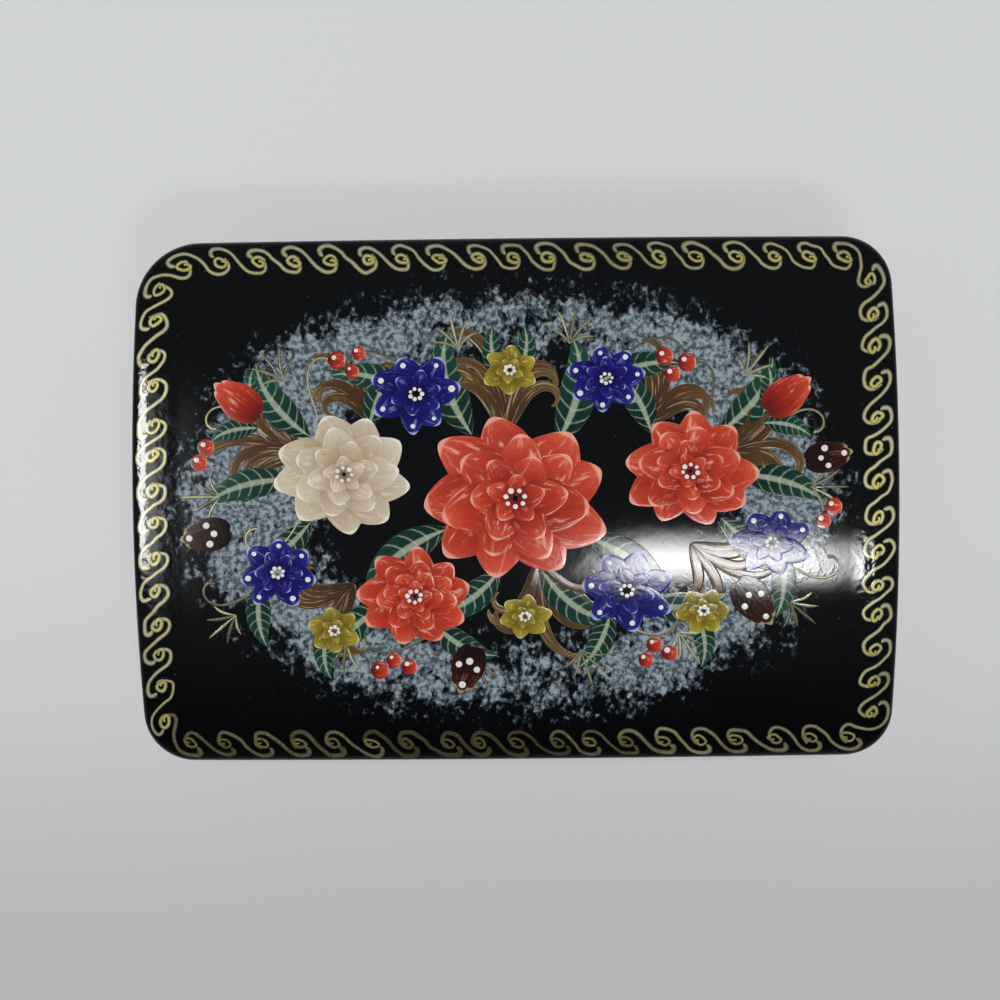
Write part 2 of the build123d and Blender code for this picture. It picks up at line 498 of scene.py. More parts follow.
def hinge_leaf(name, side, first_knuckle):
    """A leaf: a plate below (-1) or above (1) the axis, and strips rolled over to its knuckles."""
    pitch = 2 * hinge_half / knuckle_count
    roll = np.linspace(np.pi, -np.pi + roll_end_gap, roll_stations)
    tab = np.linspace(plate_start, 0, tab_stations)[:-1]
    line = np.concatenate([
        np.stack([tab * 0 - roll_radius, side * tab], 1),
        roll_radius * pointing(roll) * (1, -side),
    ]) + (hinge_y, hinge_z)
    tangent = np.gradient(line, axis=0)
    tangent /= np.linalg.norm(tangent, axis=1, keepdims=True)
    normal = np.stack([-tangent[:, 1], tangent[:, 0]], 1)
    flat = np.linspace(plate_start, leaf_length, plate_stations)
    plate = np.stack([flat * 0 - roll_radius + hinge_y, hinge_z + side * flat], 1)
    forms = [strip_form(plate, np.tile([[1.0, 0.0]], (plate_stations, 1)), (-hinge_half, hinge_half))]
    for number in range(first_knuckle, knuckle_count, 2):
        start = number * pitch - hinge_half + knuckle_gap / 2
        forms.append(strip_form(line, normal, (start, start + pitch - knuckle_gap)))
    return new_piece(name, *gathered(forms), [hinge_brass])


for leaf_name, leaf_side, leaf_first, leaf_body in (
    ("hinge_leaf_body", -1, 0, "body"),
    ("hinge_leaf_lid", 1, 1, "lid"),
):
    leaf = hinge_leaf("rolled_" + leaf_name, leaf_side, leaf_first)
    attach(leaf, leaf_body)
    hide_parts(leaf_name)


# Hinge wire and fixing pins
# A steel wire through the barrel, its ends rounded with a file. Three headless brass pins go through
# each leaf; those of the lid are filed flush and show inside it as small dots.
wire_low, wire_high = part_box("hinge_wire")
wire_radius = (wire_high.z - wire_low.z) / 2
wire_dome, pin_dome = 0.25 * mm, 0.06 * mm
pin_count = 3
pin_radius = 0.45 * mm
pin_proud = 0.03 * mm
bar_sides, dome_rows, dome_start = 28, 6, 0.06


def rounded_bar(start, end, radius, dome, axis):
    """A round bar along x or y with domed ends: a profile of radii turned about its axis. A dome starts
    a small angle off its pole, which leaves a little flat."""
    bend = np.linspace(dome_start, np.pi / 2, dome_rows)
    ends = dome * (1 - np.sin(bend))
    places = np.concatenate([start + ends, end - ends[::-1]])
    radii = radius * np.concatenate([np.sin(bend), np.sin(bend)[::-1]])
    around = np.linspace(0, 2 * np.pi, bar_sides, endpoint=False)
    ring = radii[:, None, None] * pointing(around)
    rings = np.insert(ring, axis, np.broadcast_to(places[:, None], ring.shape[:2]), axis=2)
    index = numbered(rings.shape[:2])
    return rings.reshape(-1, 3), list(quads(looped(index, 1))) + [index[0], index[-1]]


wire_points, wire_faces = rounded_bar(wire_low.x, wire_high.x, wire_radius, wire_dome, 0)
wire = new_piece("hinge_wire_rounded", wire_points + (0, hinge_y, hinge_z), wire_faces, [hinge_steel])
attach(wire, "body")
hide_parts("hinge_wire")

pins_low, pins_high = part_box("fixing_pins_lid")
pin_height = (pins_low.z + pins_high.z) / 2
pin_places = np.linspace(pins_low.x + pin_radius, pins_high.x - pin_radius, pin_count)
pin_points, pin_faces = rounded_bar(pins_low.y - pin_proud, pins_high.y, pin_radius, pin_dome, 1)
pin_forms = [(pin_points + (place, 0, pin_height), pin_faces) for place in pin_places]
pins = new_piece("lid_pins", *gathered(pin_forms), [hinge_brass])
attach(pins, "lid")
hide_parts("fixing_pins_lid")
for material_slot in frame["nodes"]["fixing_pins_body"].material_slots:
    material_slot.material = hinge_brass


# Lid frame
# A low ring wound like the wall, glued under the arched panel and lacquered with it, so that no
# joint shows outside. Inside it is red; the foot, with its half of the hinge's seat, is black.
frame_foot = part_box("lid_frame")[0].z
frame_thickness = 3.15 * mm
foot_rows, top_rows = 32, 8
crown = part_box("lid_panel")[1].z
panel_rise = 4.0 * mm
panel_thickness = 3.2 * mm
arch_radius = (half_width**2 + panel_rise**2) / (2 * panel_rise)


def arch(y, radius):
    """Height of a round arch over the width, about the axis of the lid's upper side."""
    return crown - arch_radius + np.sqrt(radius**2 - np.square(y))


def under_side(x, y):
    """The panel's lower side, which the frame meets."""
    return arch(y, arch_radius - panel_thickness)


# As for the wall, but a share is of the way from the foot up to the panel.
foot_insets = np.linspace(seam_ease, frame_thickness, foot_rows)[1:]
frame_levels = np.insert(np.linspace(0, 1, 7), 1, 0.04)
frame_insets, frame_edges, frame_shares = joined(
    (0, frame_foot + ease_drops[0], frame_levels[::-1]),
    (ease_insets[1:], frame_foot + ease_drops[1:], 0),
    (foot_insets, frame_foot, 0),
    (frame_thickness, frame_foot, frame_levels[1:]),
    (np.linspace(frame_thickness, 0, top_rows)[1:-1], frame_foot, 1),
)
frame_plan = carried(seam_path, frame_insets)
frame_feet = np.maximum(frame_edges[:, None], hinge_z + hinge_cut(frame_plan))
frame_tops = under_side(0, frame_plan[..., 1])
frame_heights = frame_feet + (frame_tops - frame_feet) * frame_shares[:, None]
frame_points, frame_faces = hollow_form(with_height(frame_plan, frame_heights))
first_red = len(frame_levels) + len(ease_turn) - 1 + len(foot_insets) - 1
frame_rows = np.arange(len(frame_faces)) // frame_plan.shape[1]
red_rows = (frame_rows >= first_red) & (frame_rows < first_red + len(frame_levels) - 1)
lid_frame = new_piece(
    "lid_ring", frame_points, frame_faces, [black_lacquer, red_lacquer], red_rows, seam_sharp_angle
)
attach(lid_frame, "lid")
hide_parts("lid_frame")


# Lid panel
# Layers of card pressed over a form to a low arch, its edge and shoulders rubbed down a little.
# Black lacquer on top, with a pale stippled haze under the last coat; red lacquer below.
rolled_edge = 0.5 * mm
shoulder_width = 3.0 * mm
shoulder_drop = 0.25 * mm
haze_half_length, haze_half_width = 31.5 * mm, 21.0 * mm
haze_pale = (0.30, 0.35, 0.385)
haze_blue = (0.09, 0.13, 0.17)


def edge_distance(x, y):
    """How far a point lies inside the outline: the least of the sides' disc radii less the distances to
    the discs' centres, or at a corner the corner's radius less the distance to its centre."""
    inside = disc_radii - np.hypot(x[..., None] - disc_centres[:, 0], y[..., None] - disc_centres[:, 1])
    distance = inside.min(axis=-1)
    for radius, centre, start, half in zip(corner_radii, corner_centres, side_starts, corner_halves):
        off = x - centre[0] + 1j * (y - centre[1])
        at_corner = np.abs(np.angle(off * np.exp(-1j * (start - half)))) < half
        distance = np.where(at_corner, radius - np.abs(off), distance)
    return distance


def lid_top(x, y):
    """The lid's upper side: the arch, less the square of a slight slope over the shoulder and a quarter
    round's drop within the rolled edge."""
    inside = edge_distance(x, y)
    slope = np.clip(1 - inside / shoulder_width, 0, 1)
    into = np.clip(rolled_edge - inside, 0, rolled_edge)
    crest = arch(y, arch_radius) - shoulder_drop * slope**2
    return crest - rolled_edge + np.sqrt(rolled_edge**2 - into**2)


def stippled_haze(place, colour, relief):
    """Pale paint dabbed on with a sponge in a broken ring, densest at the sides; and at the lid's ends
    the unevenness of the last coat, which swells over the border's strokes. Lengths are in mm."""
    x, y = place.part(0) * (1 / mm), place.part(1) * (1 / mm)
    wander = (place.noise(90, 2) - 0.5) * 9
    ring_x, ring_y = (x + wander) * (mm / haze_half_length), y * (mm / haze_half_width)
    ring = (ring_x * ring_x + ring_y * ring_y).math("SQRT")
    crescent = 1 - abs(ring - 1.0).step(0.05, 0.40)
    density = crescent * (abs(x).step(3, 22) * 0.3 + 0.7)
    slanting = place.node("ShaderNodeMapping", {}, {
        "Vector": place, "Rotation": (0, 0, -0.9), "Scale": (1, 0.75, 1),
    })
    clumps = place.noise(420, 2, 0.5) * 0.4 + slanting.noise(1350, 2, 0.6, 0.3) * 0.6
    pits = place.noise(1700, 3, 0.6).step(0.36, 0.62)
    gain = density * 0.17 + density.step(0.45, 0.95) * 0.1
    cover = (clumps + gain).step(0.575, 0.735) * density.step(0.03, 0.25) * (0.35 + pits * 0.65)
    tint = cover.mixed(haze_blue, haze_pale)
    over_border = abs(x).step(39, 41.5)
    return cover.mixed(colour, tint), relief + cover * 0.3 + over_border * place.noise(800, 2) * 2.6


lid_lacquer = lacquer(
    "lid_lacquer", (0.0012, 0.0013, 0.0016), (0.0020, 0.0021, 0.0026), (0.006, 0.006, 0.006), stippled_haze
)
roll_turn = np.linspace(0, np.pi / 2, 13)
side_levels = np.linspace(0, 1, 5)[:-1]
side_rows = len(side_levels)
shoulder_insets = np.linspace(rolled_edge, 1.1 * shoulder_width, 12)[1:]
panel_insets = np.concatenate([side_levels * 0, rolled_edge * (1 - np.cos(roll_turn)), shoulder_insets])
panel_plan = carried(path, panel_insets)
panel_heights = lid_top(panel_plan[..., 0], panel_plan[..., 1])
panel_foot = under_side(0, panel_plan[:side_rows, :, 1])
panel_heights[:side_rows] = panel_foot + side_levels[:, None] * (panel_heights[:side_rows] - panel_foot)
panel_points, panel_faces = capped_form(with_height(panel_plan, panel_heights), under_side, lid_top)
face_number = np.arange(len(panel_faces)) - (len(panel_faces) - 2 * cap_faces)
lid_panel = new_piece(
    "arched_panel", panel_points, panel_faces, [lid_lacquer, red_lacquer],
    (face_number >= 0) & (face_number < cap_faces),
)
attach(lid_panel, "lid")
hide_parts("lid_panel")


# Gold border
# A running scroll of bronze-powder paint along the lid's edge, drawn freehand unit by unit:
# a hook over one eye, a slanting stroke, and a coil round the next eye, which is looped almost full.
# Lists by side begin with the front and go counter-clockwise, but the strokes follow clockwise.
paint_sink = 0.012 * mm
border_counts = (19, 14, 19, 14)
border_insets = (2.0 * mm, 2.5 * mm, 2.25 * mm, 2.4 * mm)
border_halves = (1.36 * mm, 1.58 * mm, 1.36 * mm, 1.52 * mm)
border_width = 0.47 * mm
loop_widths_by_side = (0.34 * mm, 0.48 * mm, 0.46 * mm, 0.48 * mm)
scroll_lift, loop_lift = 0.003 * mm, 0.010 * mm
border_film = (0.006 * mm, 7, 40)
usual_pitch = 4.3 * mm
eye_wander, height_wander, width_wander, gold_wander = 0.05, 0.04, 0.08, 0.07
mark_wander = (0.022, 0.05)
corner_cuts = 3
scroll_stations, loop_stations = 50, 34
scroll_marks = (
    (-0.20, 0.30), (-0.27, 0.50), (-0.29, 0.92), (-0.10, 1.08), (0.12, 0.98), (0.29, 0.64), (0.43, 0.20),
    (0.57, -0.30), (0.71, -0.78), (0.91, -1.06), (1.12, -1.02), (1.20, -0.58), (1.17, -0.04), (1.05, 0.28),
)
loop_marks = (
    (0.14, 0.08), (-0.02, 0.37), (-0.19, 0.14), (-0.12, -0.26),
    (0.06, -0.49), (0.19, -0.30), (0.12, 0.0), (0.01, -0.06),
)
scroll_pressure = ([0, 0.03, 0.09, 0.17, 0.36, 0.55, 0.8, 1], [0.5, 1.2, 1.35, 1.05, 0.88, 0.98, 1.02, 0.9])
loop_pressure = ([0, 0.2, 0.8, 1], [0.8, 1.0, 1.0, 0.7])
# Tone of the gold along each side: painted shade at the front and painted highlight at the ends, with a
# little wear.
gold_light_and_wear_by_side = (
    (0.20, 0.36, 0.06, -0.13, -0.10, 0.06, 0.12),
    (0.68, 0.85, 1.20, 1.20, 0.75, 0.40),
    (0.85, 0.76, 0.62, 0.62, 0.70),
    (0.70, 0.80, 1.00, 1.00, 0.85),
)
random = np.random.default_rng(11)


def spaced(count):
    """Places from 0 to 1 along a stroke, closer together towards its ends."""
    return (1 - np.cos(np.linspace(0, np.pi, count))) / 2


def sideways(spines):
    """Unit vectors to the left of each stroke's path."""
    step = np.gradient(spines, axis=1)
    step /= np.linalg.norm(step, axis=2, keepdims=True)
    return np.stack([-step[..., 1], step[..., 0]], axis=-1)


def stroke_grid(spines, widths, lifts, film):
    """Points of brush strokes on the lid: stroke, station, place across, coordinate.

    A point is the spine moved sideways by up to half the width. It stands over the lid by the lift
    and by the film's rise times 1 - |v| to the power of its fullness, less where the stroke is narrow.
    Both edges lie just under the surface, so that the stroke is closed below it.
    """
    rise, across, fullness = film
    widths = np.broadcast_to(widths, spines.shape[:2])
    lifts = np.broadcast_to(lifts, len(spines))
    v = np.sin(np.pi / 2 * np.sin(np.linspace(-np.pi / 2, np.pi / 2, across)))
    plan = spines[:, :, None] + sideways(spines)[:, :, None] * (widths[:, :, None] / 2 * v)[..., None]
    load = np.sqrt(widths / widths.max(axis=1, keepdims=True))[..., None]
    height = lifts[:, None, None] + rise * load * (1 - np.abs(v) ** fullness)
    height = np.where(np.abs(v) > 0.999, -paint_sink, height)
    return with_height(plan, lid_top(plan[..., 0], plan[..., 1]) + height)


def paint_piece(name, strokes, film, paint, tones=None):
    """Brush strokes on the lid as one mesh, with a map of the place along and across them and a tone for
    each, drawn at random if not given. The film is its rise, the points across it and its fullness."""
    points, faces, maps, all_tones, made = [], [], [], [], 0
    for spines, widths, lifts in strokes:
        grid = stroke_grid(spines, widths, lifts, film)
        index = made + numbered(grid.shape[:3])
        faces += quads(looped(index, 2)).tolist() + index[:, 0].tolist() + index[:, -1].tolist()
        steps = np.linalg.norm(np.diff(spines, axis=1, prepend=spines[:, :1]), axis=2)
        travelled = np.cumsum(steps, axis=1)
        along = np.broadcast_to((travelled / travelled[:, -1:])[..., None], index.shape)
        side = np.broadcast_to(np.linspace(0, 1, index.shape[2]), index.shape)
        maps.append(np.stack([along, side], axis=-1).reshape(-1, 2))
        all_tones.append(np.repeat(random.random(len(spines)) if tones is None else tones, index[0].size))
        points.append(grid.reshape(-1, 3))
        made += index.size
    painted = new_piece(name, np.concatenate(points), faces, [paint], sharp_angle=60)
    mesh = painted.data
    corner = np.empty(len(mesh.loops), np.int32)
    mesh.loops.foreach_get("vertex_index", corner)
    mesh.uv_layers.new(name="brush").data.foreach_set("uv", np.concatenate(maps)[corner].ravel())
    mesh.attributes.new("tone", "FLOAT", "POINT").data.foreach_set("value", np.concatenate(all_tones))
    return painted


def brush_paint(
    name, shade, stops, drawn=None, streaking=0.35, roughness=0.075,
    metallic=0.0, relief=0.010 * mm, coat=0.0, tone_depth=0.22,
):
    """Brushed tempera under clear lacquer: colours that change along the stroke, streaked by the
    bristles, darker or lighter from stroke to stroke, with a little pigment grain.

    Drawn, where given, adds lines: it takes the colour, the place along the stroke, the distance
    from its middle (0 to 1) and the streaks, and gives the colour back.
    """
    made, place = new_material(name)
    brush = place.node("ShaderNodeUVMap", {"uv_map": "brush"})
    tone = place.node("ShaderNodeAttribute", {"attribute_name": "tone"}, output=2)
    streaks = place.node("ShaderNodeTexNoise", {"noise_dimensions": "4D"}, {
        "Vector": brush.stretched(2.4, 13, 1), "W": tone * 60, "Scale": 1.0, "Detail": 4.0, "Roughness": 0.62,
    })
    grain = place.noise(3200, 3, 0.6)
    along, side = brush.part(0), abs(brush.part(1) * 2 - 1)
    colour = (along + (streaks - 0.5) * streaking + (tone - 0.5) * 0.12).ramp(*stops)
    dulled = (1 - tone) * tone_depth + grain.step(0.45, 0.75) * 0.25 + (1 - streaks.step(0.25, 0.5)) * 0.25
    colour = dulled.mixed(colour, shade)
    if drawn:
        colour = drawn(colour, along, side, streaks)
    return shaded(made, {
        "Base Color": colour,
        "Metallic": metallic,
        "Roughness": roughness + grain.step(0.4, 0.7) * 0.05,
        "IOR": varnish_ior,
        "Coat Weight": coat,
        "Coat Roughness": 0.06,
        "Normal": (streaks * 0.7 + grain * 0.3).bump(relief),
    })


def thin_edges(colour, along, side, streaks):
    """Gold that thins out towards both edges of a stroke, and more where the brush ran dry."""
    dry = 1 - streaks.step(0.35, 0.6)
    return (side.step(0.06, 0.46) * (0.8 + dry * 0.15)).mixed(colour, (0.050, 0.043, 0.014))


# For gold the tones reach deep, so that the tone by side paints the border's shade and highlight.
bronze_powder = {"drawn": thin_edges, "streaking": 0.5, "relief": 0.03 * mm, "coat": 1.0, "tone_depth": 0.85}
gold_paint = brush_paint(
    "gold_paint", (0.052, 0.043, 0.016),
    ((0.0, (0.60, 0.57, 0.35)), (0.5, (0.66, 0.63, 0.36)), (1.0, (0.63, 0.59, 0.28))),
    roughness=0.36, metallic=0.3, **bronze_powder,
)
lemon_paint = brush_paint(
    "lemon_paint", (0.085, 0.070, 0.022),
    ((0.0, (0.62, 0.575, 0.25)), (0.5, (0.72, 0.66, 0.22)), (1.0, (0.72, 0.60, 0.13))),
    roughness=0.30, metallic=0.15, **bronze_powder,
)


def border_track():
    """The border's middle line, clockwise from the front left corner's middle: points, normals, travelled
    length, half height, and the lengths at which the four sides end."""
    anchors, reaches, normals = path
    side_cells = np.array([wide_cells, deep_cells, wide_cells, deep_cells])
    middles = np.cumsum(side_cells) - side_cells / 2
    number = np.arange(len(reaches))
    inset = np.interp(number, middles, border_insets, period=len(reaches))
    half = np.interp(number, middles, border_halves, period=len(reaches))
    line = anchors + (reaches - inset)[:, None] * normals
    turned = np.concatenate([[0], number[::-1]])
    line, normals, half = line[turned], normals[turned], half[turned]
    length = np.concatenate([[0], np.cumsum(np.linalg.norm(np.diff(line, axis=0), axis=1))])
    ends = length[np.cumsum([0, *side_cells[::-1]])]
    return line, normals, half, length, ends


def on_track(along, outward):
    """Plan points at lengths along the border's middle line and offsets outwards from it."""
    placed = [np.interp(along, track_length, values, period=track_length[-1])
              for values in (*track.T, *track_normals.T)]
    normal = np.stack(placed[2:], axis=-1)
    normal /= np.linalg.norm(normal, axis=-1, keepdims=True)
    return np.stack(placed[:2], axis=-1) + normal * outward[..., None]


def hand_drawn(marks, count):
    """A stroke at every eye through marks in pitches along and half heights outwards: each mark falls a
    little off its place, then corners are cut a few times and the points spaced evenly."""
    off = random.normal(0, 1, (len(eyes), len(marks), 2)) * mark_wander
    drawn = (np.array(marks) + off) * eye_scale[:, None]
    for cut in range(corner_cuts):
        start, end = drawn[:, :1], drawn[:, -1:]
        near, far = 0.75 * drawn[:, :-1] + 0.25 * drawn[:, 1:], 0.25 * drawn[:, :-1] + 0.75 * drawn[:, 1:]
        between = np.stack([near, far], axis=2).reshape(len(eyes), -1, 2)
        drawn = np.concatenate([start, between, end], axis=1)
    even = []
    for stroke in drawn:
        travelled = np.concatenate([[0], np.cumsum(np.linalg.norm(np.diff(stroke, axis=0), axis=1))])
        even.append([np.interp(np.linspace(0, travelled[-1], count), travelled, axis) for axis in stroke.T])
    along, outward = np.moveaxis(np.array(even), 0, 1)
    return on_track(eyes[:, None] + along, outward)


def pressed(width, pressure, count):
    """Widths of a stroke at every eye: heavier and lighter along it, and from one to the next."""
    along = np.interp(np.linspace(0, 1, count), *pressure)
    return width * along * random.normal(1, width_wander, (len(eyes), 1))


clockwise_counts = border_counts[::-1]
track, track_normals, track_halves, track_length, track_corners = border_track()
eyes = np.concatenate([
    start + (np.arange(count) + 0.5) / count * (end - start)
    for count, start, end in zip(clockwise_counts, track_corners[:-1], track_corners[1:])
])
eyes += random.normal(0, eye_wander, len(eyes)) * usual_pitch
eye_pitch = np.diff(np.append(eyes, eyes[0] + track_length[-1]))
eye_half = np.interp(eyes, track_length, track_halves) * random.normal(1, height_wander, len(eyes))
eye_scale = np.stack([eye_pitch, eye_half], axis=-1)
scrolls = hand_drawn(scroll_marks, scroll_stations)
scroll_widths = pressed(border_width, scroll_pressure, scroll_stations)
loops = hand_drawn(loop_marks, loop_stations)
loop_width = np.repeat(loop_widths_by_side[::-1], clockwise_counts)[:, None]
loop_widths = pressed(loop_width, loop_pressure, loop_stations)
# Painted light and shade: each eye's tone follows its side, lighter at the ends and darker at the front.
gold_lit_and_worn = np.concatenate([
    np.interp(np.linspace(0, 1, count), np.linspace(0, 1, len(gold)), gold)
    for count, gold in zip(clockwise_counts, gold_light_and_wear_by_side[::-1])
])
gold_lit_and_worn = np.clip(gold_lit_and_worn + random.normal(0, gold_wander, len(eyes)), -0.2, 1.2)
for border_name, border_strokes, border_paint in (
    ("gold_border", (scrolls, scroll_widths, scroll_lift), gold_paint),
    ("gold_border_eyes", (loops, loop_widths, loop_lift), lemon_paint),
):
    border = paint_piece(border_name, [border_strokes], border_film, border_paint, gold_lit_and_worn)
    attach(border, "lid")


# Painted plumes
# Fans of curled locks in brown tempera behind the flowers, edged and lined with ochre gold.
# They lie lowest of the painted work. A root has its place, its heading and its length.
plume_roots = np.array([
    (-1.0, 8.0, 94, 15.0), (2.5, -7.0, -80, 14.5), (24.5, 5.5, 24, 13.5), (-24.5, 6.0, 160, 13.5),
    (20.5, -5.0, -42, 12.5), (-19.0, -9.5, -138, 12.5), (15.5, 9.0, 66, 12.5), (-16.5, 9.5, 112, 12.0),
])
locks_each = 7
lock_spread = 0.55
lock_stations = 28
lock_width, lock_shape = 1.45 * mm, (0.8, 0.7, 0.1)
lock_bend, middle_lock_curl = 0.35, 0.6
least_lock_curl, more_lock_curl = 2.55, 2.25
outer_lock_loss = 0.26
lock_heading_wander, lock_length_wander, lock_width_wander = 0.06, 0.05, 0.12
lowest_lock, outer_lock_lift = 0.003, 0.011
lock_film = (0.014 * mm, 7, 4)
ochre_gold = (0.37, 0.30, 0.14)


def swept(starts, heading, bend, curl, length, count):
    """Paths that set out at a heading and turn on the way by bend * t + curl * t cubed."""
    t = spaced(count)
    angle = heading[:, None] + bend[:, None] * t + curl[:, None] * t**3
    middle = (angle[:, 1:] + angle[:, :-1]) / 2
    steps = pointing(middle) * (length[:, None] * np.diff(t))[..., None]
    return starts[:, None] + np.concatenate([steps[:, :1] * 0, np.cumsum(steps, axis=1)], axis=1)


def swelling(count, lean, roundness, least):
    """Widths along a stroke as shares of its greatest: a sine to the power of roundness, never less than
    least, that is widest before the middle where lean is below 1 and after it where lean is above."""
    return np.sin(np.pi * spaced(count) ** lean) ** roundness * (1 - least) + least


def lock_lines(colour, along, side, streaks):
    """Ochre gold along both edges of a lock and in broken hairs along it."""
    edge = side.step(0.58, 0.72) * streaks.step(0.2, 0.42)
    hairs = streaks.step(0.56, 0.62) * along.step(0.05, 0.2)
    return edge.math("MAXIMUM", hairs * 0.8).mixed(colour, ochre_gold)


plume_paint = brush_paint(
    "plume_paint", (0.030, 0.014, 0.007),
    ((0.0, (0.035, 0.016, 0.008)), (0.6, (0.095, 0.046, 0.018)), (1.0, (0.15, 0.085, 0.03))),
    drawn=lock_lines,
)
fan = np.tile(np.linspace(-1, 1, locks_each), len(plume_roots))
roots = np.repeat(plume_roots, locks_each, axis=0)
lock_heading = np.radians(roots[:, 2]) + fan * lock_spread
lock_heading += random.normal(0, lock_heading_wander, len(fan))
lock_curl = np.where(np.abs(fan) < 0.1, middle_lock_curl, np.sign(fan))
lock_curl *= least_lock_curl + more_lock_curl * random.random(len(fan))
lock_share = 1 - outer_lock_loss * np.abs(fan) + random.normal(0, lock_length_wander, len(fan))
lock_length = roots[:, 3] * lock_share * mm
locks = swept(roots[:, :2] * mm, lock_heading, -fan * lock_bend, lock_curl, lock_length, lock_stations)
lock_widths = lock_width * swelling(lock_stations, *lock_shape)
lock_widths = lock_widths * random.normal(1, lock_width_wander, (len(fan), 1))
lock_lifts = (lowest_lock + outer_lock_lift * np.abs(fan)) * mm
plumes = paint_piece("painted_plumes", [(locks, lock_widths, lock_lifts)], lock_film, plume_paint)
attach(plumes, "lid")


# Gold sprigs
# Thin curling tendrils and tufts of grass strokes, drawn with gold over the ground and the haze.
# A tendril has its place, heading, length, bend and curl; a tuft has its place and heading.
tendrils = np.array([
    (29, 7, 42, 11, 0.3, -4.4), (-29, 8, 138, 11, -0.3, 4.4), (31, -7, -30, 10, -0.3, 4.4),
    (-30, -10, 205, 10, 0.3, -4.4), (11, 16, 30, 13, 0.4, -4.4), (-11, 15, 152, 13, -0.4, 4.4),
    (10, -13, -28, 13, -0.4, 4.4), (-9, -15, 206, 13, 0.4, -4.4), (24, -3, -62, 14, 0.6, 4.0),
    (-25, -1, 246, 12, -0.6, -4.0), (22, 9, 74, 10, -0.5, 4.0), (-23, 10, 104, 10, 0.5, -4.0),
])
tufts = np.array([
    (34.5, 1.5, 0), (-34.5, 1.0, 180), (6.5, 18.5, 78), (-6.5, 18.0, 104), (19, -15.5, -56),
    (-20, -16.5, -128), (7.5, -17.5, -72), (-4.5, -18.5, -104), (27, 14.5, 52), (-27, 14.5, 128),
    (32, -12, -40), (-33, -13, -140),
])
tendril_stations, blade_stations = 44, 16
tendril_width, blade_width = 0.34 * mm, 0.42 * mm
tendril_pressure = ([0, 0.3, 0.85, 1], [0.6, 1, 0.8, 1.5])
blades_each = 5
blade_spread, blade_bend, blade_curl = 0.75, 0.5, 0.4
blade_shape = (1.3, 0.8, 0.1)
middle_blade, outer_blade_loss, blade_wander = 4.4, 1.3, 0.35
sprig_lift = 0.02 * mm
sprig_film = (0.022 * mm, 5, 3)
tendril_heading, tendril_length, tendril_bend, tendril_curl = tendrils[:, 2:].T
tendril_lines = swept(
    tendrils[:, :2] * mm, np.radians(tendril_heading), tendril_bend, tendril_curl, tendril_length * mm,
    tendril_stations,
)
tendril_widths = tendril_width * np.interp(spaced(tendril_stations), *tendril_pressure)
blade_fan = np.tile(np.linspace(-1, 1, blades_each), len(tufts))
blade_roots = np.repeat(tufts, blades_each, axis=0)
blade_length = middle_blade - outer_blade_loss * np.abs(blade_fan)
blade_length = (blade_length + random.normal(0, blade_wander, len(blade_fan))) * mm
blades = swept(
    blade_roots[:, :2] * mm, np.radians(blade_roots[:, 2]) + blade_fan * blade_spread,
    blade_fan * blade_bend, blade_fan * blade_curl, blade_length, blade_stations,
)
blade_widths = blade_width * swelling(blade_stations, *blade_shape)
sprig_strokes = [(tendril_lines, tendril_widths, sprig_lift), (blades, blade_widths, sprig_lift)]
sprigs = paint_piece("gold_sprigs", sprig_strokes, sprig_film, gold_paint)
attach(sprigs, "lid")


# Painted leaves
# Bottle-green blades with pale mint outlines and veins drawn in with the point of the brush.
# A leaf has its place, heading, length, width and bend; each lies a little over the one before.
leaf_places = np.array([
    (5, 7, 58, 13, 4.4, 0.6), (-5, 8, 126, 13, 4.4, -0.6), (-8, -3, 200, 13, 4.2, 0.5),
    (8, -4, -20, 13, 4.2, -0.5), (3, -8, -58, 11, 3.8, 0.6), (-2, -8, -126, 10, 3.6, -0.6),
    (24, 8, 34, 11, 3.8, 0.5), (26, 3, -2, 11, 3.6, -0.4), (24, -2, -46, 10, 3.4, 0.4),
    (16, 8, 104, 9, 3.4, 0.5), (-24, 8, 146, 11, 3.8, -0.5), (-26, 3, 180, 11, 3.6, 0.4),
    (-24, -2, 232, 10, 3.4, -0.4), (-17, 9, 78, 9, 3.4, -0.5), (-15, -12, 204, 10, 3.6, 0.5),
    (-10, -14, -48, 9, 3.2, 0.5), (15, -12, -14, 10, 3.6, 0.5), (11, -13, -100, 8, 3.0, -0.5),
    (10, 14, 28, 10, 3.2, -0.4), (-12, 13, 152, 10, 3.2, 0.4), (-30, -9, 258, 8, 3.0, 0.4),
    (31, -6, -78, 8, 3.0, -0.4), (0, 14, 60, 7, 2.6, 0.5), (-1, 14, 122, 7, 2.6, -0.5),
    (21, -13, -64, 7, 2.6, -0.5), (-22, -14, -110, 7, 2.6, 0.5), (29, 10, 64, 6, 2.4, 0.5),
    (29, 9, 4, 6, 2.4, -0.5), (-30, 10, 116, 6, 2.4, -0.5), (-30, 9, 176, 6, 2.4, 0.5),
])
leaf_stations = 24
leaf_shape, leaf_curl_share = (0.85, 0.9, 0.03), 0.8
lowest_leaf, leaf_step = 0.016, 0.0006
leaf_film = (0.008 * mm, 9, 10)
pale_mint = (0.34, 0.40, 0.29)


def leaf_lines(colour, along, side, streaks):
    """Mint along the edges and the midrib, and slanting side veins: bands where the place along, set
    back towards the edge, passes each eighth."""
    slant = (along * 8 - side * 1.5).math("FRACT")
    inner = (1 - side.step(0.62, 0.8)) * (1 - along.step(0.8, 0.9))
    veins = (1 - abs(slant - 0.5).step(0.05, 0.12)) * inner
    lines = side.step(0.80, 0.86) * 0.95 + (1 - side.step(0.05, 0.11)) * 0.8
    drawing = lines + veins * 0.5 * streaks.step(0.3, 0.5)
    return drawing.math("MINIMUM", 1.0).mixed(colour, pale_mint)


